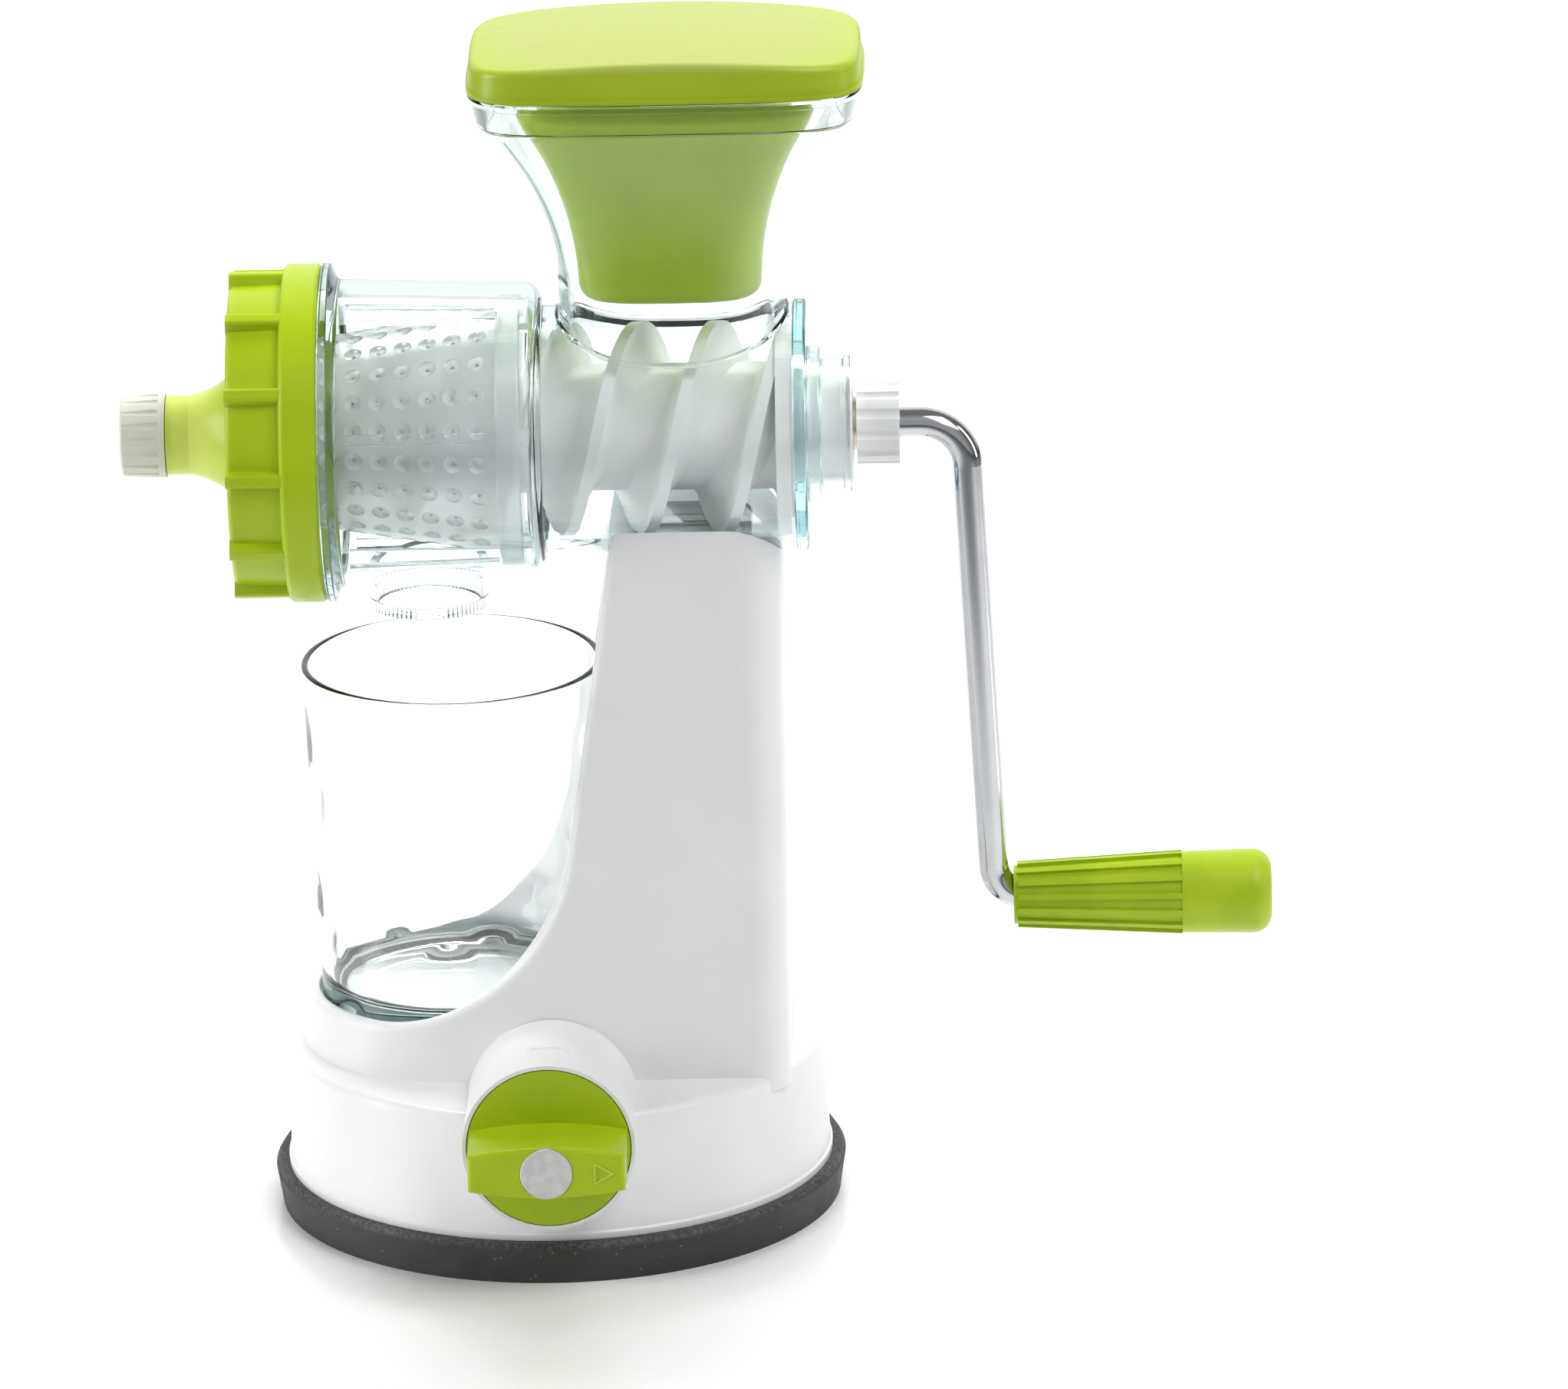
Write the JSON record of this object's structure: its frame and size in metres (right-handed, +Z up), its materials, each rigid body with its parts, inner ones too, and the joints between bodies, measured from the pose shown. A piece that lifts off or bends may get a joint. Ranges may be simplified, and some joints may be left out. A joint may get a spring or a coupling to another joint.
{
  "type": "hand-cranked juicer",
  "caption": "Hand-cranked table juicer with a vacuum foot, clear drum and hopper, screw auger, strainer, ribbed end cap, crank and tumbler.",
  "frame": {"origin": "centre of the rubber foot's underside", "axes": "+Z up, +X along the auger toward the crank, -Y toward the user who turns the base knob"},
  "size_m": [0.2964, 0.1713, 0.3155],
  "materials": {
    "white_shell": "smooth white moulding, light sheen",
    "white_trim": "white moulding, fine texture",
    "white_screw": "white moulding with polished flights",
    "green_shell": "lime green moulding, light sheen",
    "green_grip": "lime green moulding, satin",
    "clear_moulding": "clear plastic with a faint blue-green tint at its edges",
    "clear_strainer": "clear plastic, satin",
    "clear_tumbler": "clear plastic, polished",
    "foot_rubber": "dark grey rubber, slightly worn edge",
    "soft_seal": "translucent silicone",
    "crank_chrome": "bright chrome plate",
    "steel_small": "zinc-plated steel",
    "brass_insert": "turned brass"
  },
  "bodies": {
    "stand": {"stand_shell": "white_shell", "suction_pad": "foot_rubber", "base_plate": "white_trim", "base_screws": "steel_small", "stem_spring": "steel_small"},
    "stem": {"lift_stem": "white_trim"},
    "knob_set": {"knob": "green_shell", "knob_cap": "white_trim", "knob_screw": "steel_small", "cam_shaft": "steel_small", "shaft_clip": "steel_small"},
    "head": {"juice_chamber": "clear_moulding", "auger_drum": "clear_moulding", "feed_hopper": "clear_moulding", "strainer": "clear_strainer"},
    "crank": {"auger": "white_screw", "thrust_washer": "soft_seal", "drive_insert": "brass_insert", "crank_nut": "white_trim", "crank_rod": "crank_chrome", "grip_clip": "steel_small"},
    "grip_sleeve": {"grip": "green_grip", "grip_plug": "green_grip"},
    "pusher": {"pusher_cup": "green_shell", "pusher_lid": "green_shell"},
    "cap": {"end_cap": "green_shell", "cap_gasket": "soft_seal"},
    "outlet": {"pulp_adjuster": "white_trim"},
    "glass": {"tumbler": "clear_tumbler"}
  },
  "joints": [
    {"name": "knob_turn", "type": "hinge", "parent": "stand", "child": "knob_set", "pos_m": [0, 0, 0.038], "axis": [0, -1, 0], "range_deg": [0, 180]},
    {"name": "stem_lift", "type": "slide", "parent": "stand", "child": "stem", "axis": [0, 0, 1], "range_m": [0, 0.004], "deforming": ["stem_spring"]},
    {"name": "head_lift", "type": "slide", "parent": "stand", "child": "head", "axis": [0, 0, 1], "range_m": [0, 0.04]},
    {"name": "crank_spin", "type": "hinge", "parent": "head", "child": "crank", "pos_m": [0, 0, 0.2086], "axis": [1, 0, 0], "continuous": true},
    {"name": "grip_spin", "type": "hinge", "parent": "crank", "child": "grip_sleeve", "pos_m": [0.15, 0, 0.0791], "axis": [1, 0, 0], "continuous": true},
    {"name": "pusher_lift", "type": "slide", "parent": "head", "child": "pusher", "axis": [0, 0, 1], "range_m": [0, 0.06]},
    {"name": "cap_off", "type": "slide", "parent": "head", "child": "cap", "axis": [-1, 0, 0], "range_m": [0, 0.06]},
    {"name": "adjuster_turn", "type": "hinge", "parent": "cap", "child": "outlet", "pos_m": [-0.1, 0, 0.2086], "axis": [1, 0, 0], "range_deg": [0, 360]},
    {"name": "tumbler_lift", "type": "slide", "parent": "stand", "child": "glass", "axis": [0, 0, 1], "range_m": [0, 0.01]}
  ],
  "couplings": [
    {"joint": "knob_turn", "follows": "stem_lift", "rad_per_m": 785.4}
  ]
}
